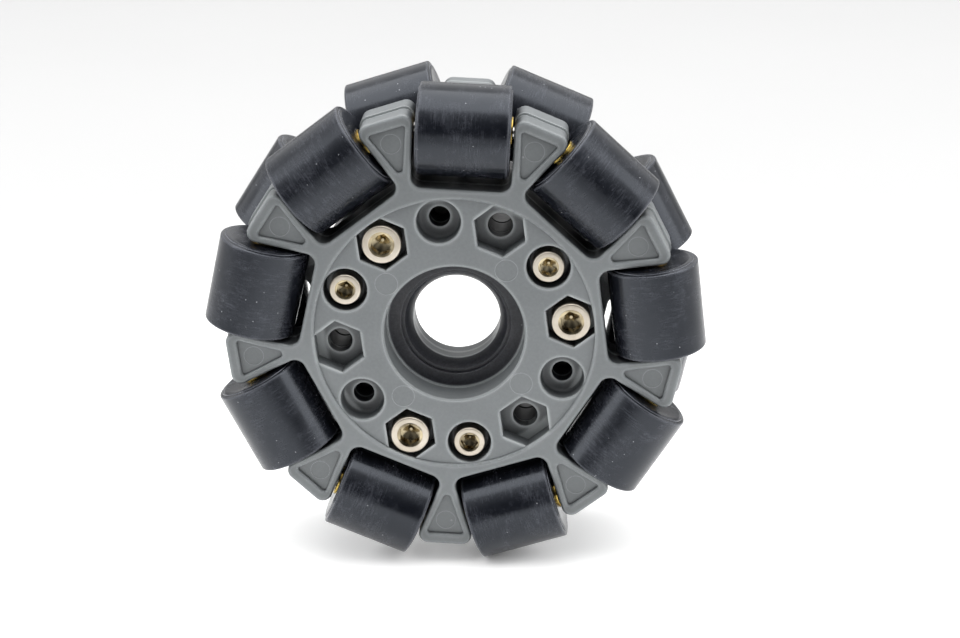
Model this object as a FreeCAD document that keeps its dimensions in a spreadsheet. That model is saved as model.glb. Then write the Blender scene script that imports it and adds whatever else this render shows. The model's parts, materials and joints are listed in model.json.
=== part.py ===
"""Dual-row omni wheel, 101.6 mm across, as a parametric FreeCAD document.

The wheel turns about the Y axis, with its centre at the origin, Z up and its front towards -Y.
Each row of nine barrel rollers is held between a plate and a core. Every moulding is drawn in a
row frame: z runs out along the axle from the mid-plane, and x and y lie in the wheel's plane.
Angles are measured in degrees from x towards y, which is anticlockwise seen from outside.
"""
import FreeCAD, Part
import math
import os

import Sketcher

os.makedirs("parts", exist_ok=True)
doc = FreeCAD.newDocument("omni_wheel")
Vector = FreeCAD.Vector
X_AXIS, Y_AXIS, Z_AXIS = Vector(1, 0, 0), Vector(0, 1, 0), Vector(0, 0, 1)

# ---------------------------------------------------------------------------------------------
# Driving dimensions, millimetres and degrees
# ---------------------------------------------------------------------------------------------
DIMENSIONS = {
    "row_offset": 9.525,             # mid-plane to a row's axle plane
    "clocking": 3.3,                 # how far the wheel has rolled from its symmetrical position
    "row_stagger": 20,               # the rear row is turned by half a roller pitch
    # rollers, bushings and axle pins
    "roller_circle": 41.275,         # wheel axis to a roller's own axis
    "roller_radius": 9.25,
    "roller_length": 18,
    "roller_bore": 2.4,
    "roller_shoulder": 0.5,          # the barrel's ends slope over this much of its length
    "roller_end_radius": 7.8,
    "roller_edge": 0.35,
    "roller_dish_radius": 6.6,
    "roller_dish_depth": 0.15,
    "bushing_radius": 2.38,
    "bushing_reach": 5,
    "flange_radius": 3.15,
    "flange_thickness": 0.65,
    "pin_radius": 1.19,
    "pin_clearance": 0.05,
    "pin_half_length": 13.6,
    "groove_clearance": 0.03,
    "groove_half_length": 13.9,
    # outline of the mouldings
    "bay_half_width": 9.95,
    "bay_floor": 30.4,
    "bay_corner": 2.2,
    "plate_post_end": 46.5,
    "core_post_end": 46.9,           # the core's posts stand out a little beyond the plate's
    "post_corner": 2,
    "post_root": 3,                  # height above the mid-plane where the core's posts start
    "parting_gap": 0.1,              # between the two halves of a post
    "core_radius": 29.6,
    "rim_face": 15.1,
    "hub_face": 14.3,
    "rim_inner_radius": 28.4,
    "lip": 0.55,                     # rounding of every moulded lip on the rim face
    "small_lip": 0.3,
    # triangular recess in each post
    "triangle_apex": 34.1,
    "triangle_base": 44.2,
    "triangle_half_width": 3.95,
    "triangle_depth": 0.9,
    "triangle_apex_corner": 0.75,
    "triangle_base_corner": 0.5,
    # marks left by the ejector pins
    "ejector_depth": 0.08,
    "post_ejector_radius": 1.95,
    "post_ejector_circle": 41.3,
    "hub_ejector_radius": 2.25,
    "hub_ejector_circle": 17.2,
    "hub_ejector_angle": 55,
    # bores
    "bearing_radius": 14.2875,
    "bearing_seat": 7,               # height of the bearing seat above the mid-plane
    "bearing_chamfer": 0.3,
    "narrow_radius": 9.05,
    "narrow_half_length": 3.3,
    "spigot_radius": 27,
    "spigot_clearance": 0.05,
    # bolt holes
    "bolt_circle": 23.8125,
    "hex_across_flats": 9.6,
    "head_seat": 10.12,              # height of the floor under the screw heads
    "hex_hole": 2.55,
    "hole_chamfer": 0.45,
    "counterbore_radius": 4.45,
    "counterbore_floor_fillet": 0.9,
    "screw_hole": 2.15,
    # black ring behind the bearing bore
    "ring_seat_radius": 14,
    "ring_radius": 13.96,
    "ring_mouth": 11.2,
    "ring_step": 10.6,
    "ring_step_height": 6.1,
    "ring_throat": 9.1,
    "ring_edge": 0.35,
    # large and small socket head cap screws and the lock nuts
    "large_head_radius": 3.96,
    "large_head_height": 4.83,
    "large_shank": 2.413,
    "large_length": 25.4,
    "large_socket": 3.97,
    "large_socket_depth": 2.4,
    "small_head_radius": 3.43,
    "small_head_height": 4.17,
    "small_shank": 2.083,
    "small_length": 12.7,
    "small_socket": 3.57,
    "small_socket_depth": 2.1,
    "screw_edge": 0.35,
    "nut_across_flats": 9.4,
    "nut_hex_height": 4,
    "nut_height": 5.9,
    "nut_collar_radius": 4.1,
    "nut_hole": 2.45,
}
ROLLERS_PER_ROW = 9
ROLLER_PITCH = 360 / ROLLERS_PER_ROW
TOP = 90                             # the first roller of a row frame stands at the top
HEX_ANGLE = 10                       # first hexagonal pocket; the next ones follow every 60 degrees
ROUND_ANGLE = 40                     # first round counterbore, between two hexagonal pockets
HOLES_OF_A_KIND = 6
BOLTS_OF_A_KIND = 3
REAR_STEP = 60                       # seen from behind, the nuts and rear screws start this much later

sheet = doc.addObject("Spreadsheet::Sheet", "sizes")
for row_number, (alias, value) in enumerate(DIMENSIONS.items(), start=1):
    sheet.set(f"A{row_number}", alias)
    sheet.set(f"B{row_number}", str(value))
    sheet.setAlias(f"B{row_number}", alias)
doc.recompute()


def size(formula):
    """The number that a formula over the sheet's aliases gives."""
    return float(sheet.evalExpression(formula))


# ---------------------------------------------------------------------------------------------
# Sketches and features
# ---------------------------------------------------------------------------------------------
def new_body(label):
    body = doc.addObject("PartDesign::Body", label)
    body.Label = label
    return body


def new_sketch(body, name, role="XY_Plane", height=None):
    """A sketch on one of the body's own origin planes, raised to a height above it."""
    sketch = body.newObject("Sketcher::SketchObject", name)
    plane = next(item for item in body.Origin.OriginFeatures if item.Role == role)
    sketch.AttachmentSupport = [(plane, "")]
    sketch.MapMode = "FlatFace"
    if height:
        sketch.setExpression("AttachmentOffset.Base.z", height)
    return sketch


def bind(sketch, constraint, formula):
    """Add a dimension to a sketch and tie it to the sheet."""
    number = sketch.addConstraint(constraint)
    sketch.setExpression(f"Constraints[{number}]", formula)


def place_point(sketch, geometry, point, x, y):
    """Hold one point of a sketch at (x, y) from the sketch's origin; both are formulas."""
    bind(sketch, Sketcher.Constraint("DistanceX", -1, 1, geometry, point, size(x)), x)
    bind(sketch, Sketcher.Constraint("DistanceY", -1, 1, geometry, point, size(y)), y)


def add_circle(sketch, radius, x="0", y="0"):
    centre = Vector(size(x), size(y), 0)
    geometry = sketch.addGeometry(Part.Circle(centre, Z_AXIS, size(radius)))
    place_point(sketch, geometry, 3, x, y)
    bind(sketch, Sketcher.Constraint("Radius", geometry, size(radius)), radius)


def add_profile(sketch, corners, arcs=None):
    """A closed profile through corners given as formulas.

    arcs maps the number of an edge to (radius, side): that edge is an arc of this radius, which
    swells to the left of its direction when side is 1 and to the right when it is -1.
    """
    arcs = arcs or {}
    points = [Vector(size(x), size(y), 0) for x, y in corners]
    count = len(points)
    edges = []
    for number, start in enumerate(points):
        end = points[(number + 1) % count]
        if number in arcs:
            radius, side = arcs[number]
            edges.append(add_arc(sketch, start, end, size(radius), side))
        else:
            geometry = sketch.addGeometry(Part.LineSegment(start, end))
            edges.append((geometry, 1, 2))
    for number, (geometry, first, last) in enumerate(edges):
        following, following_first, _ = edges[(number + 1) % count]
        sketch.addConstraint(Sketcher.Constraint("Coincident", geometry, last, following, following_first))
        place_point(sketch, geometry, first, *corners[number])
        if number in arcs:
            radius = arcs[number][0]
            bind(sketch, Sketcher.Constraint("Radius", geometry, size(radius)), radius)


def add_arc(sketch, start, end, radius, side):
    """An arc between two points; returns its number and the point numbers of its start and end."""
    chord = end - start
    left = Vector(-chord.y, chord.x, 0).normalize()
    rise = radius - math.sqrt(radius ** 2 - (chord.Length / 2) ** 2)
    crown = (start + end) / 2 + left * rise * side
    geometry = sketch.addGeometry(Part.Arc(start, crown, end))
    first_is_start = sketch.getPoint(geometry, 1).distanceToPoint(start) < 1e-6
    return (geometry, 1, 2) if first_is_start else (geometry, 2, 1)


def pad(body, sketch, length, name):
    feature = body.newObject("PartDesign::Pad", name)
    feature.Profile = sketch
    feature.setExpression("Length", length)
    doc.recompute()
    return feature


def pocket(body, sketch, name, depth=None):
    """A pocket down from the sketch, through everything when no depth is given."""
    feature = body.newObject("PartDesign::Pocket", name)
    feature.Profile = sketch
    if depth:
        feature.setExpression("Length", depth)
    else:
        feature.Type = "ThroughAll"
    volume_before = feature.BaseFeature.Shape.Volume
    doc.recompute()
    if feature.Shape.Volume >= volume_before:
        raise RuntimeError(f"{body.Label}: {name} cuts nothing")
    return feature


def revolve(body, sketch, name, kind="PartDesign::Revolution", axis="V_Axis"):
    feature = body.newObject(kind, name)
    feature.Profile = sketch
    feature.ReferenceAxis = (sketch, [axis])
    feature.Angle = 360
    doc.recompute()
    return feature


def repeat_round(body, features, count, name):
    """Repeat features round the body's z axis."""
    pattern = body.newObject("PartDesign::PolarPattern", name)
    pattern.Originals = features
    pattern.Axis = (features[0].Profile[0], ["N_Axis"])
    pattern.Angle = 360
    pattern.Occurrences = count
    body.Tip = pattern
    doc.recompute()
    return pattern


def edges_where(feature, wanted):
    """Names of the feature's edges that pass a test."""
    return [f"Edge{number}" for number, edge in enumerate(feature.Shape.Edges, start=1) if wanted(edge)]


def dress(body, kind, wanted, measure, name):
    """Fillet or chamfer the edges of the body's last feature that pass a test."""
    base = body.Tip
    names = edges_where(base, wanted)
    if not names:
        raise RuntimeError(f"{body.Label}: {name} finds no edge")
    feature = body.newObject(f"PartDesign::{kind}", name)
    feature.Base = (base, names)
    feature.setExpression("Radius" if kind == "Fillet" else "Size", measure)
    doc.recompute()
    return feature


# ---------------------------------------------------------------------------------------------
# Tests that pick edges
# ---------------------------------------------------------------------------------------------
def distance_from_axis(point):
    return math.hypot(point.x, point.y)


def is_upright(edge):
    """True for a straight edge along z."""
    low, high = edge.BoundBox.ZMin, edge.BoundBox.ZMax
    return edge.Curve.TypeId == "Part::GeomLine" and abs(high - low - edge.Length) < 1e-6


def upright_between(inner, outer):
    """A test for the straight edges along z that stand between two radii."""
    def wanted(edge):
        return is_upright(edge) and inner < distance_from_axis(edge.CenterOfMass) < outer
    return wanted


def flat_at(height, inner=0, outer=math.inf):
    """A test for the edges that lie at one height, outside one radius and inside another."""
    def wanted(edge):
        box = edge.BoundBox
        if abs(box.ZMin - height) > 1e-6 or abs(box.ZMax - height) > 1e-6:
            return False
        return all(inner < distance_from_axis(vertex.Point) < outer for vertex in edge.Vertexes)
    return wanted


def circle_at(height, radius):
    """A test for the circular edges of one radius at one height."""
    def wanted(edge):
        if edge.Curve.TypeId != "Part::GeomCircle" or abs(edge.BoundBox.ZMax - height) > 1e-6:
            return False
        return abs(edge.Curve.Radius - radius) < 1e-6
    return wanted


# ---------------------------------------------------------------------------------------------
# Features that the plates and the cores share
# ---------------------------------------------------------------------------------------------
def polar(radius, angle):
    """Formulas for a point given by a radius formula and an angle in degrees."""
    return f"{radius} * cos({angle})", f"{radius} * sin({angle})"


def add_polygon(sketch, corner_radius, sides, first_angle, centre=("0", "0")):
    """A regular polygon whose first corner lies at first_angle from its centre."""
    corners = []
    for number in range(sides):
        x, y = polar(corner_radius, first_angle + number * 360 / sides)
        corners.append((f"{centre[0]} + {x}", f"{centre[1]} + {y}"))
    add_profile(sketch, corners)


def build_post_ring(body, foot, length, end):
    """A nine-sided blank with nine roller bays cut out of it, which leaves nine posts that reach to end."""
    blank = new_sketch(body, "blank_outline", height=foot)
    half_pitch = ROLLER_PITCH / 2
    add_polygon(blank, f"{end} / cos({half_pitch})", ROLLERS_PER_ROW, TOP)
    pad(body, blank, length, "blank")
    bay = new_sketch(body, "bay_outline", height=f"{foot} + {length}")
    left, right = "-sizes.bay_half_width", "sizes.bay_half_width"
    floor, beyond = "sizes.bay_floor", "sizes.roller_circle + sizes.roller_radius + sizes.bay_corner"
    add_profile(bay, [(left, floor), (right, floor), (right, beyond), (left, beyond)])
    cut = pocket(body, bay, "bay", length)
    repeat_round(body, [cut], ROLLERS_PER_ROW, "bays")


def round_posts(body, end):
    """Round the bays' inner corners and the posts' outer corners."""
    neck = size("sizes.bay_floor") + size("sizes.bay_corner")
    tip = size(end)
    dress(body, "Fillet", upright_between(size("sizes.bay_floor"), neck), "sizes.bay_corner", "bay_corners")
    dress(body, "Fillet", upright_between(tip - 1, tip + 5), "sizes.post_corner", "post_corners")


def cut_pin_grooves(body, height):
    """Half-round seats for the axle pins across every bay, in the parting plane at this height."""
    profile = new_sketch(body, "groove_profile", height=height)
    left, right = "-sizes.groove_half_length", "sizes.groove_half_length"
    low = "sizes.roller_circle"
    high = "sizes.roller_circle + sizes.pin_radius + sizes.groove_clearance"
    add_profile(profile, [(left, low), (right, low), (right, high), (left, high)])
    axis = Part.LineSegment(Vector(-1, size(low), 0), Vector(1, size(low), 0))
    line = profile.addGeometry(axis, True)
    for point in (1, 2):
        place_point(profile, line, point, "-1" if point == 1 else "1", low)
    groove = revolve(body, profile, "groove", "PartDesign::Groove", "Axis0")
    repeat_round(body, [groove], ROLLERS_PER_ROW, "grooves")


def cut_round_holes(body, radius, angle, height, name, depth=None):
    """Six round holes on the bolt circle, down from this height."""
    sketch = new_sketch(body, f"{name}_outline", height=height)
    add_circle(sketch, radius, *polar("sizes.bolt_circle", angle))
    hole = pocket(body, sketch, name, depth)
    repeat_round(body, [hole], HOLES_OF_A_KIND, f"{name}s")


# ---------------------------------------------------------------------------------------------
# Plate: the outer moulding, with the rim, the posts' outer halves and the bearing bore
# ---------------------------------------------------------------------------------------------
def build_plate(label):
    body = new_body(label)
    build_post_ring(body, "sizes.row_offset", "sizes.rim_face - sizes.row_offset", "sizes.plate_post_end")
    add_spigot(body)
    sink_hub_face(body)
    cut_triangles(body)
    cut_bearing_bore(body)
    cut_hex_pockets(body)
    cut_counterbores(body)
    cut_pin_grooves(body, "sizes.row_offset")
    round_posts(body, "sizes.plate_post_end")
    round_triangles(body)
    round_plate_lips(body)
    mark_ejectors(body)
    return body


def add_spigot(body):
    """The boss behind the plate that centres it in the core and carries the bearing bore."""
    sketch = new_sketch(body, "spigot_outline", height="sizes.bearing_seat")
    add_circle(sketch, "sizes.spigot_radius")
    pad(body, sketch, "sizes.row_offset - sizes.bearing_seat", "spigot")


def sink_hub_face(body):
    sketch = new_sketch(body, "hub_face_outline", height="sizes.rim_face")
    add_circle(sketch, "sizes.rim_inner_radius")
    pocket(body, sketch, "hub_face", "sizes.rim_face - sizes.hub_face")


def cut_triangles(body):
    """A triangular recess in each post; it is drawn on the post that points straight down."""
    sketch = new_sketch(body, "triangle_outline", height="sizes.rim_face")
    base = "-sizes.triangle_base"
    corners = [
        ("0", "-sizes.triangle_apex"),
        ("-sizes.triangle_half_width", base),
        ("sizes.triangle_half_width", base),
    ]
    add_profile(sketch, corners)
    triangle = pocket(body, sketch, "triangle", "sizes.triangle_depth")
    repeat_round(body, [triangle], ROLLERS_PER_ROW, "triangles")


def cut_bearing_bore(body):
    sketch = new_sketch(body, "bearing_outline", height="sizes.rim_face")
    add_circle(sketch, "sizes.bearing_radius")
    pocket(body, sketch, "bearing_bore")


def cut_hex_pockets(body):
    """Hexagonal pockets with two flats square to the radius, and the through holes in their floors."""
    sketch = new_sketch(body, "hex_outline", height="sizes.hub_face")
    centre = polar("sizes.bolt_circle", HEX_ANGLE)
    add_polygon(sketch, "sizes.hex_across_flats / sqrt(3)", 6, HEX_ANGLE + 30, centre)
    hexagon = pocket(body, sketch, "hex_pocket", "sizes.hub_face - sizes.head_seat")
    repeat_round(body, [hexagon], HOLES_OF_A_KIND, "hex_pockets")
    cut_round_holes(body, "sizes.hex_hole", HEX_ANGLE, "sizes.head_seat", "hex_hole")


def cut_counterbores(body):
    depth = "sizes.hub_face - sizes.head_seat"
    cut_round_holes(body, "sizes.counterbore_radius", ROUND_ANGLE, "sizes.hub_face", "counterbore", depth)
    cut_round_holes(body, "sizes.screw_hole", ROUND_ANGLE, "sizes.head_seat", "screw_hole")


def round_triangles(body):
    apex, base = size("sizes.triangle_apex"), size("sizes.triangle_base")
    near_apex = upright_between(apex - 0.1, apex + 0.1)
    near_base = upright_between(base, base + 1)
    dress(body, "Fillet", near_apex, "sizes.triangle_apex_corner", "triangle_apexes")
    dress(body, "Fillet", near_base, "sizes.triangle_base_corner", "triangle_bases")


def round_plate_lips(body):
    """Soften every lip that the moulding shows."""
    rim_face, hub_face = size("sizes.rim_face"), size("sizes.hub_face")
    bearing, floor = size("sizes.bearing_radius"), size("sizes.head_seat")
    counterbore = size("sizes.counterbore_radius")
    dress(body, "Chamfer", circle_at(hub_face, bearing), "sizes.bearing_chamfer", "bearing_mouth")
    dress(body, "Fillet", circle_at(floor, counterbore), "sizes.counterbore_floor_fillet", "counterbore_floors")
    pocket_lips = flat_at(hub_face, bearing + 1, size("sizes.rim_inner_radius") - 0.1)
    dress(body, "Fillet", pocket_lips, "sizes.small_lip", "pocket_lips")
    dress(body, "Fillet", flat_at(rim_face), "sizes.lip", "rim_lips")


def mark_ejectors(body):
    """Shallow round marks in the posts' recesses and on the hub's face."""
    post = new_sketch(body, "post_ejector_outline", height="sizes.rim_face - sizes.triangle_depth")
    add_circle(post, "sizes.post_ejector_radius", "0", "-sizes.post_ejector_circle")
    post_mark = pocket(body, post, "post_ejector", "sizes.ejector_depth")
    repeat_round(body, [post_mark], ROLLERS_PER_ROW, "post_ejectors")
    hub = new_sketch(body, "hub_ejector_outline", height="sizes.hub_face")
    add_circle(hub, "sizes.hub_ejector_radius", *polar("sizes.hub_ejector_circle", "sizes.hub_ejector_angle"))
    hub_mark = pocket(body, hub, "hub_ejector", "sizes.ejector_depth")
    repeat_round(body, [hub_mark], 4, "hub_ejectors")


# ---------------------------------------------------------------------------------------------
# Core: the inner moulding, with the hub disc and the posts' inner halves
# ---------------------------------------------------------------------------------------------
def build_core(label):
    body = new_body(label)
    height = "sizes.row_offset - sizes.parting_gap - sizes.post_root"
    build_post_ring(body, "sizes.post_root", height, "sizes.core_post_end")
    add_hub_disc(body)
    cut_core_bores(body)
    cut_round_holes(body, "sizes.hex_hole", HEX_ANGLE, "sizes.bearing_seat", "hex_hole")
    cut_round_holes(body, "sizes.screw_hole", ROUND_ANGLE, "sizes.bearing_seat", "screw_hole")
    cut_pin_grooves(body, "sizes.row_offset")
    round_posts(body, "sizes.core_post_end")
    seat, hole = size("sizes.bearing_seat"), size("sizes.hex_hole")
    dress(body, "Chamfer", circle_at(seat, hole), "sizes.hole_chamfer", "outer_hole_mouths")
    dress(body, "Chamfer", circle_at(0, hole), "sizes.hole_chamfer", "inner_hole_mouths")
    back = flat_at(size("sizes.post_root"), size("sizes.core_radius") + 2)
    dress(body, "Fillet", back, "sizes.lip", "post_backs")
    return body


def add_hub_disc(body):
    sketch = new_sketch(body, "hub_disc_outline")
    add_circle(sketch, "sizes.core_radius")
    pad(body, sketch, "sizes.row_offset", "hub_disc")


def cut_core_bores(body):
    """The recess for the plate's spigot, the seat of the black ring and the narrow bore."""
    recess = new_sketch(body, "recess_outline", height="sizes.row_offset")
    add_circle(recess, "sizes.spigot_radius + sizes.spigot_clearance")
    pocket(body, recess, "recess", "sizes.row_offset - sizes.bearing_seat")
    seat = new_sketch(body, "ring_seat_outline", height="sizes.bearing_seat")
    add_circle(seat, "sizes.ring_seat_radius")
    pocket(body, seat, "ring_seat", "sizes.bearing_seat - sizes.narrow_half_length")
    narrow = new_sketch(body, "narrow_outline", height="sizes.bearing_seat")
    add_circle(narrow, "sizes.narrow_radius")
    pocket(body, narrow, "narrow_bore")


# ---------------------------------------------------------------------------------------------
# Pieces turned about their own axis
# ---------------------------------------------------------------------------------------------
def build_bore_ring(label):
    """The black ring: a flat outer face, a stepped mouth and a hollow cone down to the narrow bore."""
    body = new_body(label)
    sketch = new_sketch(body, "ring_profile", "XZ_Plane")
    corners = [
        ("sizes.ring_radius", "sizes.narrow_half_length"),
        ("sizes.ring_radius", "sizes.bearing_seat"),
        ("sizes.ring_mouth", "sizes.bearing_seat"),
        ("sizes.ring_mouth", "sizes.ring_step_height"),
        ("sizes.ring_step", "sizes.ring_step_height"),
        ("sizes.ring_throat", "sizes.narrow_half_length"),
    ]
    hollow = 4
    add_profile(sketch, corners, {hollow: ("sizes.ring_radius / 2", -1)})
    revolve(body, sketch, "ring")
    seat = size("sizes.bearing_seat")
    dress(body, "Fillet", circle_at(seat, size("sizes.ring_mouth")), "sizes.ring_edge", "ring_edge")
    return body


def build_roller(label):
    """A straight barrel with sloping shoulders and dished ends, drawn with its axis along z."""
    body = new_body(label)
    sketch = new_sketch(body, "barrel_profile", "XZ_Plane")
    half = "sizes.roller_length / 2"
    shoulder = f"{half} - sizes.roller_shoulder"
    dish = f"{half} - sizes.roller_dish_depth"
    upper = [
        ("sizes.roller_radius", shoulder),
        ("sizes.roller_end_radius", half),
        ("sizes.roller_dish_radius + sizes.roller_dish_depth", half),
        ("sizes.roller_dish_radius", dish),
        ("sizes.roller_bore", dish),
    ]
    lower = [(x, f"-({z})") for x, z in upper]
    add_profile(sketch, upper + lower[::-1])
    revolve(body, sketch, "barrel")
    heights = (size(shoulder), -size(shoulder))
    edges = [circle_at(height, size("sizes.roller_radius")) for height in heights]
    dress(body, "Fillet", lambda edge: any(test(edge) for test in edges), "sizes.roller_edge", "edges")
    return body


def build_bushings(label):
    """The two flanged bushings of one roller, facing each other along z."""
    body = new_body(label)
    sketch = new_sketch(body, "bushing_profile", "XZ_Plane")
    inner = "sizes.pin_radius + sizes.pin_clearance"
    seat = "sizes.roller_length / 2 - sizes.roller_dish_depth"
    tip = f"{seat} - sizes.bushing_reach"
    cap = "sizes.roller_length / 2 + sizes.flange_thickness"
    section = [(inner, tip), ("sizes.bushing_radius", tip), ("sizes.bushing_radius", seat),
               ("sizes.flange_radius", seat), ("sizes.flange_radius", cap), (inner, cap)]
    add_profile(sketch, section)
    add_profile(sketch, [(x, f"-({z})") for x, z in section])
    revolve(body, sketch, "bushings")
    return body


def build_screw(label, kind):
    """A socket head cap screw, drawn head up with the underside of its head at z = 0."""
    body = new_body(label)
    head, height = f"sizes.{kind}_head_radius", f"sizes.{kind}_head_height"
    shank, length = f"sizes.{kind}_shank", f"sizes.{kind}_length"
    outline = new_sketch(body, "screw_profile", "XZ_Plane")
    edge = "sizes.screw_edge"
    corners = [
        ("0", f"-{length}"),
        (f"{shank} - {edge}", f"-{length}"),
        (shank, f"-{length} + {edge}"),
        (shank, "0"),
        (head, "0"),
        (head, f"{height} - {edge}"),
        (f"{head} - {edge}", height),
        ("0", height),
    ]
    add_profile(outline, corners)
    revolve(body, outline, "screw")
    socket = new_sketch(body, "socket_outline", height=height)
    across, depth = f"sizes.{kind}_socket", f"sizes.{kind}_socket_depth"
    add_polygon(socket, f"{across} / sqrt(3)", 6, 0)
    pocket(body, socket, "socket", depth)
    drill = new_sketch(body, "drill_profile", "XZ_Plane")
    floor = f"{height} - {depth}"
    add_profile(drill, [("0", floor), (f"{across} * 0.48", floor), ("0", f"{floor} - {across} * 0.24")])
    revolve(body, drill, "drill_point", "PartDesign::Groove")
    return body


def build_lock_nut(label):
    """A hexagonal nut with a round locking collar, drawn with its seat at z = 0 and turned to fit its pocket."""
    body = new_body(label)
    hexagon = new_sketch(body, "nut_outline")
    add_polygon(hexagon, "sizes.nut_across_flats / sqrt(3)", 6, 30)
    pad(body, hexagon, "sizes.nut_hex_height", "nut")
    collar = new_sketch(body, "collar_outline")
    add_circle(collar, "sizes.nut_collar_radius")
    pad(body, collar, "sizes.nut_height", "collar")
    hole = new_sketch(body, "nut_hole_outline", height="sizes.nut_height")
    add_circle(hole, "sizes.nut_hole")
    pocket(body, hole, "nut_hole")
    top = circle_at(size("sizes.nut_height"), size("sizes.nut_collar_radius"))
    dress(body, "Fillet", top, "sizes.lip", "collar_edge")
    return body


def build_pin(label):
    """One axle pin along z, centred on its roller."""
    pin = doc.addObject("Part::Cylinder", label)
    pin.Label = label
    pin.setExpression("Radius", "sizes.pin_radius")
    pin.setExpression("Height", "2 * sizes.pin_half_length")
    doc.recompute()
    return pin


# ---------------------------------------------------------------------------------------------
# Placing
# ---------------------------------------------------------------------------------------------
def turn(axis, angle):
    return FreeCAD.Placement(Vector(), FreeCAD.Rotation(axis, angle))


def row_placement(row):
    """From the row frame to the wheel: the front row faces -Y and the rear row +Y."""
    stand_up = turn(X_AXIS, 90)
    if row == "front":
        return turn(Y_AXIS, size("sizes.clocking")) * stand_up
    face_back = turn(Z_AXIS, 180)
    return turn(Y_AXIS, size("sizes.clocking - sizes.row_stagger")) * face_back * stand_up


def roller_placement(angle):
    """A roller's place in the row frame: its z axis along the rim, its x axis outwards."""
    radians = math.radians(angle)
    cosine, sine = math.cos(radians), math.sin(radians)
    circle = size("sizes.roller_circle")
    centre = Vector(circle * cosine, circle * sine, size("sizes.row_offset"))
    outwards, along = Vector(cosine, sine, 0), Vector(-sine, cosine, 0)
    return FreeCAD.Placement(centre, FreeCAD.Rotation(outwards, along.cross(outwards), along, "ZXY"))


def bolt_placement(angle, height):
    """A place on the bolt circle of the row frame, at a height above the mid-plane."""
    radians = math.radians(angle)
    circle = size("sizes.bolt_circle")
    centre = Vector(circle * math.cos(radians), circle * math.sin(radians), height)
    return FreeCAD.Placement(centre, FreeCAD.Rotation(Z_AXIS, angle))


def group(label, pieces, placement):
    """Identical pieces that share one node stay separate solids in a compound."""
    compound = doc.addObject("Part::Compound", label)
    compound.Label = label
    compound.Links = pieces
    compound.Placement = placement
    doc.recompute()
    return compound


# ---------------------------------------------------------------------------------------------
# The wheel
# ---------------------------------------------------------------------------------------------
def build_row(row):
    """One row: plate, core, bore ring, nine rollers with their bushings, and nine axle pins."""
    in_wheel = row_placement(row)
    mouldings = [build_plate(f"{row}_plate"), build_core(f"{row}_core"), build_bore_ring(f"{row}_bore_ring")]
    for moulding in mouldings:
        moulding.Placement = in_wheel
    turning = []
    pins = []
    for number in range(ROLLERS_PER_ROW):
        in_row = roller_placement(TOP + number * ROLLER_PITCH)
        roller = build_roller(f"{row}_roller_{number + 1}")
        bushings = build_bushings(f"{row}_bushings_{number + 1}")
        for piece in (roller, bushings):
            piece.Placement = in_wheel * in_row
            turning.append(piece)
        pin = build_pin(f"{row}_axle_pin_{number + 1}")
        lowered = FreeCAD.Placement(Vector(0, 0, -size("sizes.pin_half_length")), FreeCAD.Rotation())
        pin.Placement = in_row * lowered
        pins.append(pin)
    return mouldings + turning + [group(f"{row}_axle_pins", pins, in_wheel)]


def build_fasteners():
    """Three large screws with their nuts, and three small screws from each side."""
    seat = size("sizes.head_seat")
    large, nuts = [], []
    small = {"front": [], "rear": []}
    for number in range(BOLTS_OF_A_KIND):
        around = number * 360 / BOLTS_OF_A_KIND
        screw = build_screw(f"large_screw_{number + 1}", "large")
        screw.Placement = bolt_placement(HEX_ANGLE + around, seat)
        large.append(screw)
        nut = build_lock_nut(f"lock_nut_{number + 1}")
        nut.Placement = bolt_placement(HEX_ANGLE + REAR_STEP + around, seat)
        nuts.append(nut)
        for row, step in (("front", 0), ("rear", REAR_STEP)):
            screw = build_screw(f"{row}_screw_{number + 1}", "small")
            screw.Placement = bolt_placement(ROUND_ANGLE + step + around, seat)
            small[row].append(screw)
    return [
        group("large_screws", large, row_placement("front")),
        group("lock_nuts", nuts, row_placement("rear")),
        group("front_small_screws", small["front"], row_placement("front")),
        group("rear_small_screws", small["rear"], row_placement("rear")),
    ]


nodes = build_row("front") + build_row("rear") + build_fasteners()
doc.recompute()
for item in doc.Objects:
    if "Invalid" in item.State or "Error" in item.State:
        raise RuntimeError(f"{item.Label} failed: {item.State}")
for node in nodes:
    if node.Shape.isNull() or not node.Shape.isValid():
        raise RuntimeError(f"{node.Label} has no valid shape")
for node in nodes:
    node.Shape.exportStep(f"parts/{node.Label}.step")
print(len(nodes), "nodes,", sum(len(node.Shape.Solids) for node in nodes), "solids")
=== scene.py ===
"""The looks of the dual-row omni wheel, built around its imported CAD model. Lengths are in metres."""
import json
import math
import random

import bmesh
import bpy
from mathutils import Matrix, Vector


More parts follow.
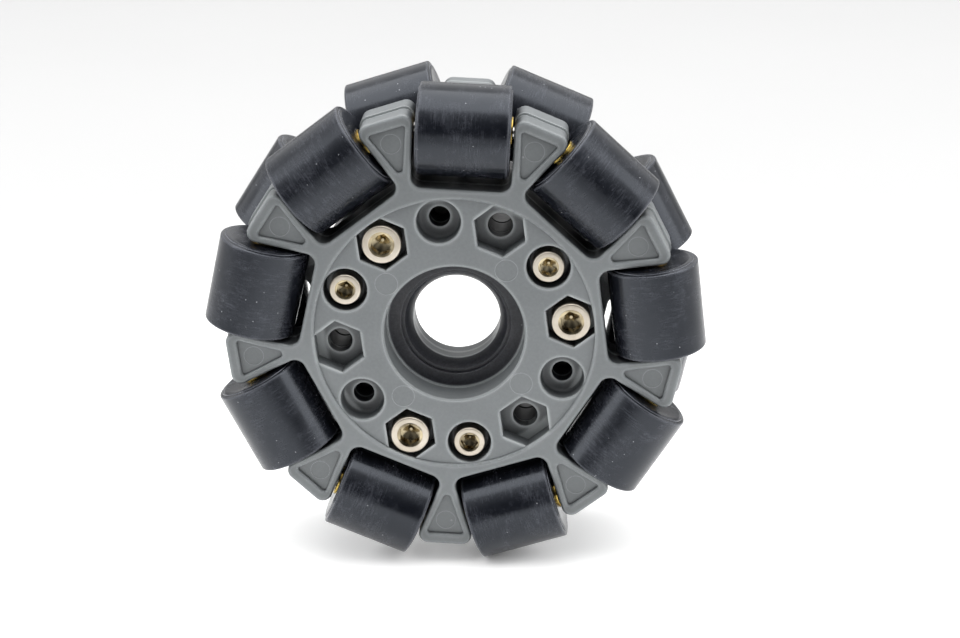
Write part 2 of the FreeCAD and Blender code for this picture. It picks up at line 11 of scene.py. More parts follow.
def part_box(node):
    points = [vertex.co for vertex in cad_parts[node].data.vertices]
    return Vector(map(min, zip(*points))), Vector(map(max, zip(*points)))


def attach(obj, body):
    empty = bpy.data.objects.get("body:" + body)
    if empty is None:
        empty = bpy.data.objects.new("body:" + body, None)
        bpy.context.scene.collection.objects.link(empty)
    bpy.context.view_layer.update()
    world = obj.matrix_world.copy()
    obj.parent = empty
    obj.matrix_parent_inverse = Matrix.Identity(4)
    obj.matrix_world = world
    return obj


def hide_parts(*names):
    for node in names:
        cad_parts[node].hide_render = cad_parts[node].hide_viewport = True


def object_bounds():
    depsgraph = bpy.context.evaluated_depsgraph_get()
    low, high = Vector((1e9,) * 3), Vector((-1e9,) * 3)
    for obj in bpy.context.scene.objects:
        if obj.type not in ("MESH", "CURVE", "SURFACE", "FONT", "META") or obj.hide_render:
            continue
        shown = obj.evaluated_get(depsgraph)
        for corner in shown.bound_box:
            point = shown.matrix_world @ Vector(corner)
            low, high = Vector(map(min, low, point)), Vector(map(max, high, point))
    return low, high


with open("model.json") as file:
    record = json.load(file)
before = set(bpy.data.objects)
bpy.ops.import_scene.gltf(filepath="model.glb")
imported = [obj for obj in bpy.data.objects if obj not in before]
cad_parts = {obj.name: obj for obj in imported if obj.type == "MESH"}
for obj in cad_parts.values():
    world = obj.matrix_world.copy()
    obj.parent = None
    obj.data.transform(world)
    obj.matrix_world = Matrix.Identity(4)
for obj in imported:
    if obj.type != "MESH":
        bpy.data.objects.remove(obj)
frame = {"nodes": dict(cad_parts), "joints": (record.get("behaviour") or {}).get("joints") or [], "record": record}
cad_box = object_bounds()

MM = 0.001
nodes = frame["nodes"]
joints = {joint["child"]: joint for joint in frame["joints"]}
mounts = {mount["name"]: mount for mount in frame["record"]["mounts"]}

# ---------------------------------------------------------------------------------------------
# Driving dimensions
# ---------------------------------------------------------------------------------------------
ROLLER_RADIUS = 9.25 * MM
ROLLER_LENGTH = 18.8 * MM
SHOULDER_LENGTH = 0.5 * MM    # how much of the length the sloping shoulder takes up
SHOULDER_END = 7.8 * MM       # the shoulder's radius where it meets the end face
LIP_RADIUS = 8.35 * MM
END_DISH = 0.15 * MM
FLANGE_SEAT = 8.85 * MM       # the flange's two faces, from the roller's middle
FLANGE_FACE = 9.65 * MM
FLANGE_RADIUS = 3.15 * MM
PIN_HOLE_RADIUS = 1.24 * MM
BUSHING_RADIUS = 2.38 * MM
BUSHING_REACH = 5 * MM
THREAD_PITCH = 25.4 * MM / 32
LARGE_SCREW = {"head": 3.96 * MM, "height": 4.83 * MM, "shank": 2.413 * MM,
               "socket": 3.97 * MM, "depth": 2.4 * MM, "bevel": 0.3 * MM}
SMALL_SCREW = {"head": 3.22 * MM, "height": 4.17 * MM, "shank": 2.083 * MM,
               "socket": 3.2 * MM, "depth": 2.1 * MM, "bevel": 0.2 * MM}
NUT_WALL = 0.75 * MM          # the nut's collar around its nylon insert
INSERT_DEPTH = 1.9 * MM
HEAD_SEGMENTS = 72            # vertices around a screw's head or a nut
LARGE_STEP = 60               # degrees round the bolt circle from an empty bolt hole
FRONT_SMALL_STEP = -30
REAR_SMALL_STEP = 30
ROWS = ("front", "rear")
ROLLERS_PER_ROW = 9

CAMERA_AZIMUTH = math.radians(2.41)
CAMERA_ELEVATION = math.radians(19.21)
CAMERA_ROLL = math.radians(-0.68)
CAMERA_PLACE = Vector((21.5, -400.0, 137.8)) * MM
CAMERA_LENS = 75.98           # Blender takes the lens and the sensor in millimetres
CAMERA_SENSOR = 36.0
# Strength of the painted glow on the floor near the wheel.
FLOOR_GLOW = 0.33


# ---------------------------------------------------------------------------------------------
# Mesh helpers
# ---------------------------------------------------------------------------------------------
def frame_matrix(origin, x_axis, z_axis):
    """A matrix that takes local x and z to the given directions and the local origin to a point."""
    z_axis = Vector(z_axis).normalized()
    x_axis = (Vector(x_axis) - Vector(x_axis).dot(z_axis) * z_axis).normalized()
    y_axis = z_axis.cross(x_axis)
    rotation = Matrix((x_axis, y_axis, z_axis)).transposed().to_4x4()
    return Matrix.Translation(Vector(origin)) @ rotation


def add_lathe(bm, profile, segments, material=0, wobble=None):
    """Revolve a closed profile of (radius, height) points about local z.

    wobble(point number, angle) gives an extra radius, for edges that aren't perfectly round.
    """
    rings = []
    for number, (radius, height) in enumerate(profile):
        if radius < 1e-9:
            rings.append([bm.verts.new((0, 0, height))])
            continue
        ring = []
        for step in range(segments):
            angle = 2 * math.pi * step / segments
            reach = radius + (wobble(number, angle) if wobble else 0)
            ring.append(bm.verts.new((reach * math.cos(angle), reach * math.sin(angle), height)))
        rings.append(ring)
    for number, ring in enumerate(rings):
        following = rings[(number + 1) % len(rings)]
        if len(ring) == 1 and len(following) == 1:
            continue
        for step in range(segments):
            after = (step + 1) % segments
            corners = [ring[step % len(ring)], ring[after % len(ring)],
                       following[after % len(following)], following[step % len(following)]]
            face = bm.faces.new(list(dict.fromkeys(corners)))
            face.material_index = material
            face.smooth = True


def arc_points(centre, radius, start, end, count):
    """Points of an arc in a (radius, height) profile; the angles are in degrees."""
    points = []
    for step in range(count + 1):
        angle = math.radians(start + (end - start) * step / count)
        points.append((centre[0] + radius * math.cos(angle), centre[1] + radius * math.sin(angle)))
    return points


def make_piece(name, bm, matrix, materials, sharp_angle=35):
    """Turn a bmesh into an object at a place, with its sharp edges marked."""
    bmesh.ops.recalc_face_normals(bm, faces=bm.faces)
    mesh = bpy.data.meshes.new(name)
    bm.to_mesh(mesh)
    bm.free()
    mesh.set_sharp_from_angle(angle=math.radians(sharp_angle))
    for material in materials:
        mesh.materials.append(material)
    piece = bpy.data.objects.new(name, mesh)
    bpy.context.scene.collection.objects.link(piece)
    piece.matrix_world = matrix
    return piece


# ---------------------------------------------------------------------------------------------
# Material helpers
# ---------------------------------------------------------------------------------------------
class Graph:
    """A material's node graph, with one principled shader that the rest of it feeds."""

    def __init__(self, name, **shader_values):
        self.material = bpy.data.materials.new(name)
        self.material.use_nodes = True
        self.tree = self.material.node_tree
        self.shader = self.tree.nodes["Principled BSDF"]
        for socket, value in shader_values.items():
            self.shader.inputs[socket.replace("_", " ")].default_value = value

    def add(self, kind, inputs=None, **settings):
        node = self.tree.nodes.new("ShaderNode" + kind)
        for setting, value in settings.items():
            setattr(node, setting, value)
        for socket, value in (inputs or {}).items():
            if isinstance(value, bpy.types.NodeSocket):
                self.tree.links.new(value, node.inputs[socket])
            else:
                node.inputs[socket].default_value = value
        return node

    def feed(self, socket, value):
        self.tree.links.new(value, self.shader.inputs[socket])

    def place(self, scale=(1, 1, 1)):
        """The piece's own coordinates, in metres, stretched by a scale; each piece differs a little."""
        coordinates = self.add("TexCoord")
        piece = self.add("ObjectInfo")
        shift = self.add("VectorMath", {0: piece.outputs["Random"], 1: (0.7, 1.3, 0.4)},
                         operation="MULTIPLY")
        moved = self.add("VectorMath", {0: coordinates.outputs["Object"], 1: shift.outputs[0]},
                         operation="ADD")
        return self.add("Mapping", {"Vector": moved.outputs[0], "Scale": scale}).outputs[0]

    def noise(self, scale, detail=4, roughness=0.55, stretch=(1, 1, 1)):
        values = {"Vector": self.place(stretch), "Scale": scale, "Detail": detail, "Roughness": roughness}
        return self.add("TexNoise", values).outputs["Fac"]

    def spots(self, scale, size, share):
        """Small round specks: 1 inside a speck, 0 outside; share is the part of the cells that have one."""
        cells = self.add("TexVoronoi", {"Vector": self.place(), "Scale": scale})
        near = self.add("Math", {0: cells.outputs["Distance"], 1: size}, operation="LESS_THAN")
        cell_value = self.add("SeparateColor", {0: cells.outputs["Color"]})
        chosen = self.add("Math", {0: cell_value.outputs[0], 1: share}, operation="LESS_THAN")
        return self.add("Math", {0: near.outputs[0], 1: chosen.outputs[0]}, operation="MULTIPLY").outputs[0]

    def ramp(self, value, low, high, out_low=0.0, out_high=1.0):
        values = {"Value": value, "From Min": low, "From Max": high, "To Min": out_low, "To Max": out_high}
        return self.add("MapRange", values).outputs["Result"]

    def mix(self, share, first, second):
        values = {"Factor": share, 6: first, 7: second}
        return self.add("Mix", values, data_type="RGBA").outputs[2]

    def bump(self, height, distance, strength):
        values = {"Height": height, "Distance": distance, "Strength": strength}
        return self.add("Bump", values).outputs["Normal"]

    def lips(self, distance):
        """0 on flat surfaces and in corners, towards 1 on outer edges and lips."""
        shade = self.add("AmbientOcclusion", {"Distance": distance}, samples=6, inside=True)
        return self.add("Math", {0: 1.0, 1: shade.outputs["AO"]}, operation="SUBTRACT").outputs[0]

    def hollows(self, distance):
        """0 on open surfaces, towards 1 down holes and in deep pockets; it masks the painted shade there."""
        shade = self.add("AmbientOcclusion", {"Distance": distance}, samples=6)
        return self.add("Math", {0: 1.0, 1: shade.outputs["AO"]}, operation="SUBTRACT").outputs[0]


def rgb(red, green, blue):
    """A colour as it is seen on a screen, 0 to 255, turned into the linear values that nodes use."""
    values = []
    for channel in (red, green, blue):
        part = channel / 255
        values.append(part / 12.92 if part <= 0.04045 else ((part + 0.055) / 1.055) ** 2.4)
    return (*values, 1.0)


# ---------------------------------------------------------------------------------------------
# Materials
# ---------------------------------------------------------------------------------------------
def grey_nylon():
    """Glass-filled nylon: cloudy flow marks, a fine mottle, painted highlights on the lips and painted shade down
    the pockets.
    """
    graph = Graph("grey_nylon", IOR=1.5)
    clouds = graph.noise(45, detail=3)
    fibres = graph.noise(1600, detail=2, roughness=0.7)
    base = graph.mix(graph.ramp(clouds, 0.35, 0.65), rgb(106, 110, 112), rgb(115, 119, 121))
    mottled = graph.mix(graph.ramp(fibres, 0.3, 0.7, 0, 0.14), base, rgb(146, 150, 151))
    # Painted shade: the colour goes near black down holes, in deep pockets and in the roller bays.
    painted_pocket_shade = graph.mix(graph.ramp(graph.hollows(9 * MM), 0.36, 0.86, 0, 0.9), mottled, rgb(30, 31, 36))
    # Painted highlight: pale lines along the rounded lips and outer edges.
    painted_edge_highlight = graph.mix(graph.ramp(graph.lips(0.9 * MM), 0.13, 0.34, 0, 0.7), painted_pocket_shade, rgb(182, 187, 188))
    scuffs = graph.spots(260, 0.06, 0.1)
    graph.feed("Base Color", graph.mix(graph.ramp(scuffs, 0, 1, 0, 0.3), painted_edge_highlight, rgb(190, 194, 194)))
    graph.feed("Roughness", graph.ramp(graph.noise(300, detail=3), 0.3, 0.7, 0.34, 0.46))
    graph.feed("Normal", graph.bump(fibres, 0.00001, 0.3))
    return graph.material


def black_rubber():
    """Roller skin: fine turned lines round the roller, scuffed patches, painted highlights on the lips and a
    little dust.
    """
    graph = Graph("black_rubber", IOR=1.5, Specular_Tint=(0.84, 0.9, 1.0, 1.0))
    lines = graph.noise(1, detail=5, roughness=0.75, stretch=(420, 420, 3600))
    patches = graph.noise(150, detail=7, roughness=0.72)
    scuffed = graph.add("Math", {0: graph.ramp(patches, 0.44, 0.64), 1: graph.ramp(lines, 0.48, 0.62)},
                        operation="MULTIPLY").outputs[0]
    base = graph.mix(graph.ramp(patches, 0.3, 0.7), rgb(10, 12, 18), rgb(26, 28, 34))
    worn = graph.mix(graph.ramp(scuffed, 0, 1, 0, 0.42), base, rgb(92, 94, 102))
    # Painted highlight: a pale line along the roller's lips and outer edges.
    painted_lip_highlight = graph.mix(graph.ramp(graph.lips(0.5 * MM), 0.08, 0.34, 0, 0.75), worn, rgb(128, 130, 138))
    dusty = graph.mix(graph.ramp(graph.spots(900, 0.12, 0.09), 0, 1, 0, 0.55), painted_lip_highlight, rgb(170, 172, 176))
    graph.feed("Base Color", dusty)
    graph.feed("Roughness", graph.ramp(patches, 0.35, 0.65, 0.15, 0.32))
    graph.feed("Normal", graph.bump(lines, 0.00003, 0.5))
    return graph.material


def black_plastic():
    """The bore ring: matte black with a fine sparkle of moulded grain and painted highlights on its edges."""
    graph = Graph("black_plastic", IOR=1.48)
    grain = graph.noise(2600, detail=2, roughness=0.7)
    base = graph.mix(graph.ramp(grain, 0.35, 0.75), rgb(29, 30, 35), rgb(50, 51, 58))
    sparkle = graph.mix(graph.ramp(graph.spots(700, 0.12, 0.06), 0, 1, 0, 0.6), base, rgb(126, 127, 131))
    # Painted highlight: the colour turns paler along the ring's outer edges.
    graph.feed("Base Color", graph.mix(graph.ramp(graph.lips(0.4 * MM), 0.12, 0.5, 0, 0.7), sparkle,
                                       rgb(128, 130, 134)))
    graph.feed("Roughness", graph.ramp(graph.noise(200), 0.3, 0.7, 0.36, 0.52))
    graph.feed("Normal", graph.bump(grain, 0.00003, 0.6))
    return graph.material


def metal(name, light, dark, roughness, grain_scale, grain_stretch=(1, 1, 1)):
    """A plated or turned metal whose tone and gloss vary along fine tool marks."""
    graph = Graph(name, Metallic=1.0)
    grain = graph.noise(grain_scale, detail=3, stretch=grain_stretch)
    stains = graph.noise(260, detail=2)
    graph.feed("Base Color", graph.mix(graph.ramp(stains, 0.35, 0.7), light, dark))
    graph.feed("Roughness", graph.ramp(grain, 0.3, 0.7, roughness - 0.06, roughness + 0.08))
    graph.feed("Normal", graph.bump(grain, 0.000006, 0.2))
    return graph.material


def white_nylon():
    """The locking ring inside a nut: off-white with a faint mottle."""
    graph = Graph("white_nylon", IOR=1.5)
    mottle = graph.noise(900, detail=2)
    graph.feed("Base Color", graph.mix(mottle, rgb(214, 214, 206), rgb(232, 232, 226)))
    graph.feed("Roughness", graph.ramp(mottle, 0.3, 0.7, 0.35, 0.5))
    return graph.material


def pale_sweep():
    """The studio sweep: a white table with a painted glow near the wheel, cut out by a painted contact shadow, and
    a colour painted darker to pale grey away from the wheel.
    """
    graph = Graph("pale_sweep")
    coordinates = graph.add("TexCoord").outputs["Object"]
    across = graph.add("VectorMath", {0: coordinates, 1: (1, 1, 0)}, operation="MULTIPLY").outputs[0]
    reach = graph.add("VectorMath", {0: across}, operation="LENGTH").outputs["Value"]
    paper = graph.mix(graph.noise(3, detail=2), rgb(238, 238, 238), rgb(242, 242, 241))
    # Painted falloff of light: the floor's colour turns darker grey away from the wheel.
    graph.feed("Base Color", graph.mix(graph.ramp(reach, 0.12, 0.28), paper, rgb(196, 196, 196)))
    # Painted light and shadow: the floor glows near the wheel, and the glow is cut out where the wheel stands,
    # painting its contact shadow.
    open_sky = graph.add("AmbientOcclusion", {"Distance": 6 * MM}, samples=8).outputs["AO"]
    near_wheel = graph.ramp(reach, 0.14, 0.3, FLOOR_GLOW, 0.0)
    painted_glow = graph.add("Math", {0: near_wheel, 1: graph.ramp(open_sky, 0.05, 0.5)}, operation="MULTIPLY")
    graph.feed("Emission Strength", painted_glow.outputs[0])
    graph.shader.inputs["Emission Color"].default_value = (1, 1, 1, 1)
    graph.feed("Roughness", graph.ramp(graph.noise(8, detail=2), 0.3, 0.7, 0.6, 0.75))
    return graph.material


GREY = grey_nylon()
RUBBER = black_rubber()
BLACK = black_plastic()
BRASS = metal("brass", rgb(204, 178, 98), rgb(150, 122, 60), 0.24, 900)
STEEL = metal("pin_steel", rgb(205, 205, 203), rgb(160, 160, 158), 0.2, 1, (900, 900, 90))
NICKEL = metal("nickel_plate", rgb(198, 190, 177), rgb(182, 173, 159), 0.36, 700)
SOCKET = metal("socket_tint", rgb(182, 169, 140), rgb(88, 79, 62), 0.15, 700)
THREAD = metal("oiled_thread", rgb(84, 82, 78), rgb(46, 45, 44), 0.45, 700)
WHITE_NYLON = white_nylon()


# ---------------------------------------------------------------------------------------------
# Rollers and their bushings
# ---------------------------------------------------------------------------------------------
def roller_matrix(joint):
    """A roller's own frame: z along its axle, x away from the wheel's centre."""
    centre = Vector(joint["pos_m"])
    outwards = Vector((centre.x, 0, centre.z))
    return frame_matrix(centre, outwards, joint["axis"])


def roller_profile():
    """Half of the section, from the bore out over the end face and the shoulder to the barrel's middle.

    The second value holds the numbers of the points on the beaded lip.
    """
    half = ROLLER_LENGTH / 2
    floor = half - END_DISH
    bore = BUSHING_RADIUS + 0.02 * MM
    recess = FLANGE_RADIUS + 0.04 * MM
    slope = SHOULDER_LENGTH / (ROLLER_RADIUS - SHOULDER_END)
    lip_height = half - slope * (LIP_RADIUS - SHOULDER_END)
    end = [(bore, 0), (bore, FLANGE_SEAT), (recess, FLANGE_SEAT), (recess, floor - 0.1 * MM),
           (recess + 0.1 * MM, floor)]
    dish_width, dish_steps = 2.8 * MM, 7
    for step in range(dish_steps + 1):
        part = step / dish_steps
        end.append((SHOULDER_END - dish_width * (1 - part), floor + END_DISH * part ** 2))
    lip_start = len(end) + 1
    bead = [(LIP_RADIUS - 0.2 * MM, lip_height + 0.03 * MM), (LIP_RADIUS - 0.08 * MM, lip_height + 0.07 * MM),
            (LIP_RADIUS + 0.03 * MM, lip_height + 0.04 * MM), (LIP_RADIUS + 0.1 * MM, lip_height - 0.09 * MM)]
    knee = 0.4 * MM
    turn = math.degrees(math.atan2(1, slope))
    centre = (ROLLER_RADIUS - knee, half - SHOULDER_LENGTH - 0.62 * knee)
    corner = arc_points(centre, knee, turn, 0, 6)
    top = centre[1] - 0.1 * MM
    steps = 8
    barrel = [(ROLLER_RADIUS, top * (1 - step / steps)) for step in range(steps)]
    return end + bead + corner + barrel, range(lip_start, lip_start + len(bead) - 1)


def add_roller(row, number):
    """A barrel with sloping shoulders, a beaded lip, a dished end and the odd nib of moulding flash."""
    name = f"{row}_roller_{number}"
    upper, lip_points = roller_profile()
    lower = [(radius, -height) for radius, height in upper[1:]]
    profile = upper + [(ROLLER_RADIUS, 0)] + lower[::-1]
    chance = random.Random(f"{name} flash")
    lips = {*lip_points, *(len(profile) - point for point in lip_points)}
    nib_width = 0.035
    nibs = [(chance.uniform(0, 2 * math.pi), chance.uniform(0.1, 0.3) * MM) for _ in range(3)]
    phase = chance.uniform(0, 2 * math.pi)

    def wobble(point, angle):
        if point not in lips:
            return 0
        ripple = 0.05 * MM * math.sin(3 * angle + phase) * math.sin(11 * angle - phase)
        for place, rise in nibs:
            apart = abs((angle - place + math.pi) % (2 * math.pi) - math.pi)
            ripple += rise * math.exp(-(apart / nib_width) ** 2)
        return ripple

    bm = bmesh.new()
    add_lathe(bm, profile, segments=144, wobble=wobble)
    piece = make_piece(f"{name}_barrel", bm, roller_matrix(joints[name]), [RUBBER])
    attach(piece, name)
    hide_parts(name)


def bushing_profile():
    """The section of one flanged bushing, whose flange stands a little out of the roller's end."""
    tip = FLANGE_SEAT - BUSHING_REACH
    round_over = 0.15 * MM
    profile = [(PIN_HOLE_RADIUS, tip), (BUSHING_RADIUS, tip), (BUSHING_RADIUS, FLANGE_SEAT),
               (FLANGE_RADIUS, FLANGE_SEAT)]
    profile += arc_points((FLANGE_RADIUS - round_over, FLANGE_FACE - round_over), round_over, 0, 90, 4)
    profile += [(PIN_HOLE_RADIUS + round_over, FLANGE_FACE), (PIN_HOLE_RADIUS, FLANGE_FACE - round_over)]
    return profile


def add_bushings(row, number):
    """Both bushings of one roller, which turn with it on the pin."""
    roller = f"{row}_roller_{number}"
    bm = bmesh.new()
    profile = bushing_profile()
    add_lathe(bm, profile, segments=48)
    add_lathe(bm, [(radius, -height) for radius, height in profile], segments=48)
    piece = make_piece(f"{row}_bushing_pair_{number}", bm, roller_matrix(joints[roller]), [BRASS])
    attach(piece, roller)
    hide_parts(f"{row}_bushings_{number}")


# ---------------------------------------------------------------------------------------------
# Screws and nuts
# ---------------------------------------------------------------------------------------------
# Places in a piece's list of materials: a screw has the first three, a nut has the first and its insert.
OUTSIDE, INSIDE, SHANK = 0, 1, 2
INSERT = 1


def add_socket_head(bm, head, height, socket, depth, bevel):
    """A cap screw's head above z = 0: turned outside, hexagonal socket with a drilled bottom."""
    foot, edge, groove = 0.15 * MM, 0.45 * MM, 0.1 * MM
    corner = socket / math.sqrt(3)
    mouth = corner + bevel
    drill_tip = height - depth - socket * 0.25
    outside = [(head - foot, 0), (head, foot)]
    outside += arc_points((head - edge, height - edge), edge, 0, 90, 6)
    outside += [(mouth + 0.16 * MM, height), (mouth + 0.04 * MM, height - groove)]
    rings = [ring_of(bm, radius, level) for radius, level in outside]
    rings.append(hexagon_of(bm, corner, height - groove - 0.7 * bevel))
    rings.append(hexagon_of(bm, corner, height - depth))
    rings.append(ring_of(bm, socket * 0.47, height - depth - 0.05 * MM))
    rings.append(ring_of(bm, socket * 0.08, drill_tip))
    centre_low = bm.verts.new((0, 0, 0))
    centre_high = bm.verts.new((0, 0, drill_tip))
    inside_first = len(outside) - 1
    for number, (ring, following) in enumerate(zip(rings, rings[1:])):
        join_rings(bm, ring, following, INSIDE if number >= inside_first else OUTSIDE)
    fan(bm, rings[0], centre_low, OUTSIDE)
    fan(bm, rings[-1], centre_high, INSIDE)


def ring_of(bm, radius, height):
    """A ring of vertices on a circle."""
    turn = 2 * math.pi / HEAD_SEGMENTS
    return [bm.verts.new((radius * math.cos(turn * step), radius * math.sin(turn * step), height))
            for step in range(HEAD_SEGMENTS)]


def hexagon_of(bm, corner, height):
    """A ring of vertices on a hexagon, at the same angles as those on a circle."""
    flat = corner * math.cos(math.pi / 6)
    ring = []
    for step in range(HEAD_SEGMENTS):
        angle = 2 * math.pi * step / HEAD_SEGMENTS
        from_flat = (angle % (math.pi / 3)) - math.pi / 6
        reach = flat / math.cos(from_flat)
        ring.append(bm.verts.new((reach * math.cos(angle), reach * math.sin(angle), height)))
    return ring


def join_rings(bm, ring, following, material):
    """A band of faces between two rings with the same count of vertices."""
    count = len(ring)
    for step in range(count):
        after = (step + 1) % count
        face = bm.faces.new((ring[step], ring[after], following[after], following[step]))
        face.material_index = material
        face.smooth = True


def fan(bm, ring, centre, material):
    """Triangles that close a ring at a vertex in its middle."""
    count = len(ring)
    for step in range(count):
        face = bm.faces.new((ring[step], ring[(step + 1) % count], centre))
        face.material_index = material
        face.smooth = True


def bolt_angles(step):
    """Where a kind of screw stands on the bolt circle, counted in degrees from the empty bolt holes."""
    angles = []
    for number in (1, 2, 3):
        x, _, z = mounts[f"hub_bolt_hole_{number}"]["pos_m"]
        angles.append(math.atan2(z, x) + math.radians(step))
    return angles


def bolt_matrix(angle, height, outwards, twist):
    """A place on the bolt circle whose z axis points out of the wheel's front (-1) or rear (1)."""
    x, _, z = mounts["hub_bolt_hole_1"]["pos_m"]
    circle = math.hypot(x, z)
    place = Vector((circle * math.cos(angle), height, circle * math.sin(angle)))
    spin = angle + math.radians(twist)
    return frame_matrix(place, (math.cos(spin), 0, math.sin(spin)), (0, outwards, 0))


def add_screws(node, size, step, outwards, twists):
    """Every screw of one node, as separate shells of one piece.

    The heads face outwards, to the front (-1) or the rear (1), and each one's socket is twisted its own way.
    """
    low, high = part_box(node)
    head_top = low.y if outwards < 0 else high.y
    seat = head_top - outwards * size["height"]
    length = (high.y - low.y) - size["height"]
    bm = bmesh.new()
    for angle, twist in zip(bolt_angles(step), twists):
        one = bmesh.new()
        add_socket_head(one, size["head"], size["height"], size["socket"], size["depth"], size["bevel"])
        add_shank(one, size["shank"], THREAD_PITCH, length)
        bmesh.ops.transform(one, matrix=bolt_matrix(angle, seat, outwards, twist), verts=one.verts)
        merge(bm, one)
    piece = make_piece(f"{node}_detailed", bm, Matrix.Identity(4), [NICKEL, SOCKET, THREAD], sharp_angle=30)
    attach(piece, "hub")
    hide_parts(node)


def add_shank(bm, radius, pitch, length):
    """The shank as a stack of thread ridges with a chamfered tip."""
    groove = 0.55 * pitch
    profile = [(0, 0), (radius, 0)]
    ridges = int(length / pitch) - 1
    for ridge in range(ridges):
        top = -pitch * (ridge + 0.2)
        profile += [(radius, top), (radius - groove, top - pitch * 0.44),
                    (radius - groove, top - pitch * 0.54)]
    profile += [(radius, -pitch * (ridges + 0.2)), (radius, -length + 0.7 * groove),
                (radius - 0.7 * groove, -length), (0, -length)]
    add_lathe(bm, profile, segments=36, material=SHANK)


def merge(bm, other):
    """Add a second bmesh to the first."""
    mesh = bpy.data.meshes.new("part")
    other.to_mesh(mesh)
    other.free()
    bm.from_mesh(mesh)
    bpy.data.meshes.remove(mesh)


def add_lock_nuts():
    """Hexagonal nuts seated in their pockets, with a collar that holds a ring of white nylon."""
    low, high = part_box("lock_nuts")
    across, hex_height, collar, hole = 9.4 * MM, 4 * MM, 4.1 * MM, 2.45 * MM
    height = high.y - low.y
    bm = bmesh.new()
    pocket_turn = 30
    for angle in bolt_angles(LARGE_STEP):
        one = bmesh.new()
        add_nut_shell(one, across, hex_height, collar, hole, height)
        insert = [(hole, height - INSERT_DEPTH), (collar - NUT_WALL, height - INSERT_DEPTH),
                  (collar - NUT_WALL, height - 0.25 * MM), (hole, height - 0.32 * MM)]
        add_lathe(one, insert, segments=48, material=INSERT)
        bmesh.ops.transform(one, matrix=bolt_matrix(angle, low.y, 1, pocket_turn), verts=one.verts)
        merge(bm, one)
    piece = make_piece("lock_nuts_detailed", bm, Matrix.Identity(4), [NICKEL, WHITE_NYLON], sharp_angle=30)
    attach(piece, "hub")
    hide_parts("lock_nuts")


def add_nut_shell(bm, across, hex_height, collar, hole, height):
    """The nut's metal: a hexagon with chamfered ends and a round collar that is crimped over the nylon."""
    corner = across / math.sqrt(3)
    chamfer, bead, insert_floor = 0.5 * MM, 0.1 * MM, height - INSERT_DEPTH
    rings = [
        ring_of(bm, hole, 0),
        ring_of(bm, across / 2 * 0.96, 0),
        hexagon_of(bm, corner, chamfer),
        hexagon_of(bm, corner, hex_height - chamfer),
        ring_of(bm, across / 2 * 0.97, hex_height),
        ring_of(bm, collar, hex_height + 0.15 * MM),
        ring_of(bm, collar, height - chamfer),
        ring_of(bm, collar - 0.25 * MM, height - bead),
        ring_of(bm, collar - 0.5 * MM, height),
        ring_of(bm, collar - NUT_WALL, height - bead),
        ring_of(bm, collar - NUT_WALL, insert_floor),
        ring_of(bm, hole, insert_floor),
    ]
    for ring, following in zip(rings, rings[1:] + rings[:1]):
        join_rings(bm, ring, following, OUTSIDE)


# ---------------------------------------------------------------------------------------------
# CAD nodes that stay as they are
# ---------------------------------------------------------------------------------------------
def dress_node(name, material):
    """Give a CAD node its material."""
    node = nodes[name]
    node.data.materials.clear()
    node.data.materials.append(material)


# ---------------------------------------------------------------------------------------------
# Studio
# ---------------------------------------------------------------------------------------------
def add_sweep(ground):
    """A floor that curves up into a low backdrop far behind the wheel, so light comes over it."""
    bm = bmesh.new()
    width, front, back, bend, top, bend_steps = 6.0, -3.0, 2.2, 0.5, 0.6, 16
    section = [(front, ground), (back - bend, ground)]
    for step in range(1, bend_steps + 1):
        angle = math.radians(90 * step / bend_steps)
        section.append((back - bend + bend * math.sin(angle), ground + bend - bend * math.cos(angle)))
    section.append((back, ground + top))
    left = [bm.verts.new((-width / 2, y, z)) for y, z in section]
    right = [bm.verts.new((width / 2, y, z)) for y, z in section]
    for number in range(len(section) - 1):
        face = bm.faces.new((left[number], right[number], right[number + 1], left[number + 1]))
        face.smooth = True
    sweep = make_piece("sweep", bm, Matrix.Identity(4), [pale_sweep()])


def add_area_light(name, place, target, size, power):
    """A white rectangular light aimed at a point, with its power in watts."""
    light = bpy.data.lights.new(name, "AREA")
    light.shape = "RECTANGLE"
    light.size, light.size_y = size
    light.energy = power
    lamp = bpy.data.objects.new(name, light)
    lamp.location = place
    lamp.rotation_euler = (Vector(target) - Vector(place)).to_track_quat("-Z", "Y").to_euler()
    bpy.context.scene.collection.objects.link(lamp)


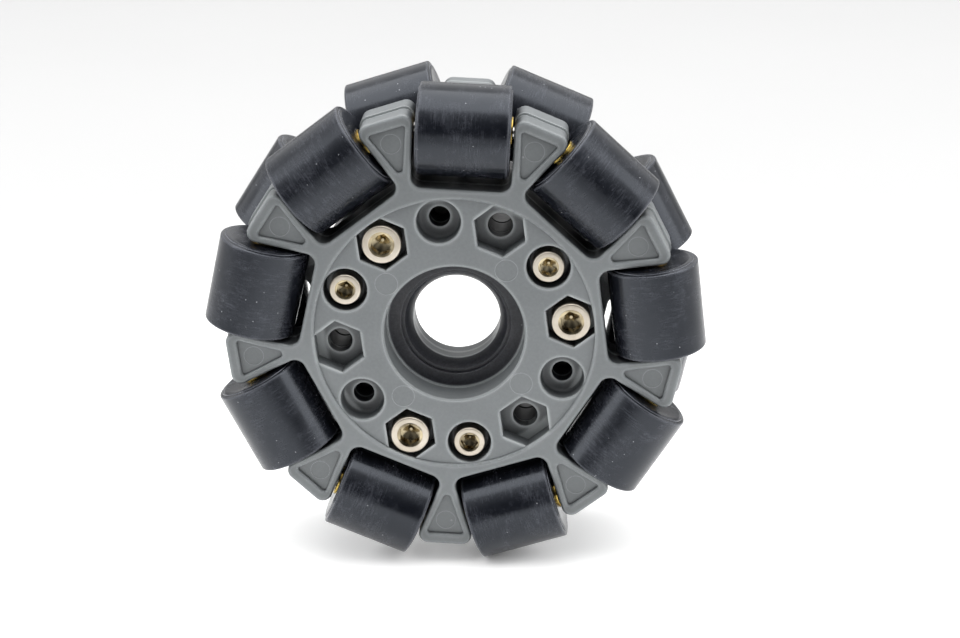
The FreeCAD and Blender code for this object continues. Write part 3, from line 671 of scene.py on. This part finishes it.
def add_tent(wall, opening):
    """White light from every side, dimmer through the opening on the camera's side, which is -Y."""
    middle_of_opening, edge_of_opening = -0.97, -0.35
    world = bpy.data.worlds.new("tent")
    world.use_nodes = True
    tree = world.node_tree
    direction = tree.nodes.new("ShaderNodeTexCoord")
    split = tree.nodes.new("ShaderNodeSeparateXYZ")
    ramp = tree.nodes.new("ShaderNodeMapRange")
    ramp.interpolation_type = "SMOOTHSTEP"
    ramp.inputs["From Min"].default_value = middle_of_opening
    ramp.inputs["From Max"].default_value = edge_of_opening
    ramp.inputs["To Min"].default_value = opening
    ramp.inputs["To Max"].default_value = wall
    tree.links.new(direction.outputs["Generated"], split.inputs[0])
    tree.links.new(split.outputs["Y"], ramp.inputs["Value"])
    tree.nodes["Background"].inputs["Color"].default_value = (1, 1, 1, 1)
    tree.links.new(ramp.outputs["Result"], tree.nodes["Background"].inputs["Strength"])
    bpy.context.scene.world = world


def add_camera():
    """The camera, whose local z axis points back from the wheel towards it."""
    camera = bpy.data.cameras.new("camera")
    camera.lens = CAMERA_LENS
    camera.sensor_width = CAMERA_SENSOR
    camera.clip_start = 0.01
    back = Vector((math.sin(CAMERA_AZIMUTH) * math.cos(CAMERA_ELEVATION),
                   -math.cos(CAMERA_AZIMUTH) * math.cos(CAMERA_ELEVATION), math.sin(CAMERA_ELEVATION)))
    level = Vector((math.cos(CAMERA_AZIMUTH), math.sin(CAMERA_AZIMUTH), 0))
    holder = bpy.data.objects.new("camera", camera)
    upright = frame_matrix(CAMERA_PLACE, level, back)
    holder.matrix_world = upright @ Matrix.Rotation(CAMERA_ROLL, 4, "Z")
    bpy.context.scene.collection.objects.link(holder)
    bpy.context.scene.camera = holder


# ---------------------------------------------------------------------------------------------
# The wheel
# ---------------------------------------------------------------------------------------------
add_camera()
for row in ROWS:
    for part, material in (("plate", GREY), ("core", GREY), ("bore_ring", BLACK), ("axle_pins", STEEL)):
        dress_node(f"{row}_{part}", material)
    for number in range(1, ROLLERS_PER_ROW + 1):
        add_roller(row, number)
        add_bushings(row, number)
add_screws("large_screws", LARGE_SCREW, LARGE_STEP, -1, twists=(8, 21, 33))
add_screws("front_small_screws", SMALL_SCREW, FRONT_SMALL_STEP, -1, twists=(5, 40, 18))
add_screws("rear_small_screws", SMALL_SCREW, REAR_SMALL_STEP, 1, twists=(14, 47, 29))
add_lock_nuts()

add_sweep(cad_box[0].z)
add_area_light("overhead", (0.0, 0.0, 1.2), (0, 0, 0), (1.8, 1.4), 18)
add_area_light("left_box", (-1.3, -0.3, 0.5), (0, 0, 0), (0.8, 0.9), 4)
add_area_light("right_box", (1.3, -0.3, 0.5), (0, 0, 0), (0.8, 0.9), 4.5)
add_tent(1.1, 0.045)
bpy.context.scene.view_settings.view_transform = "Standard"
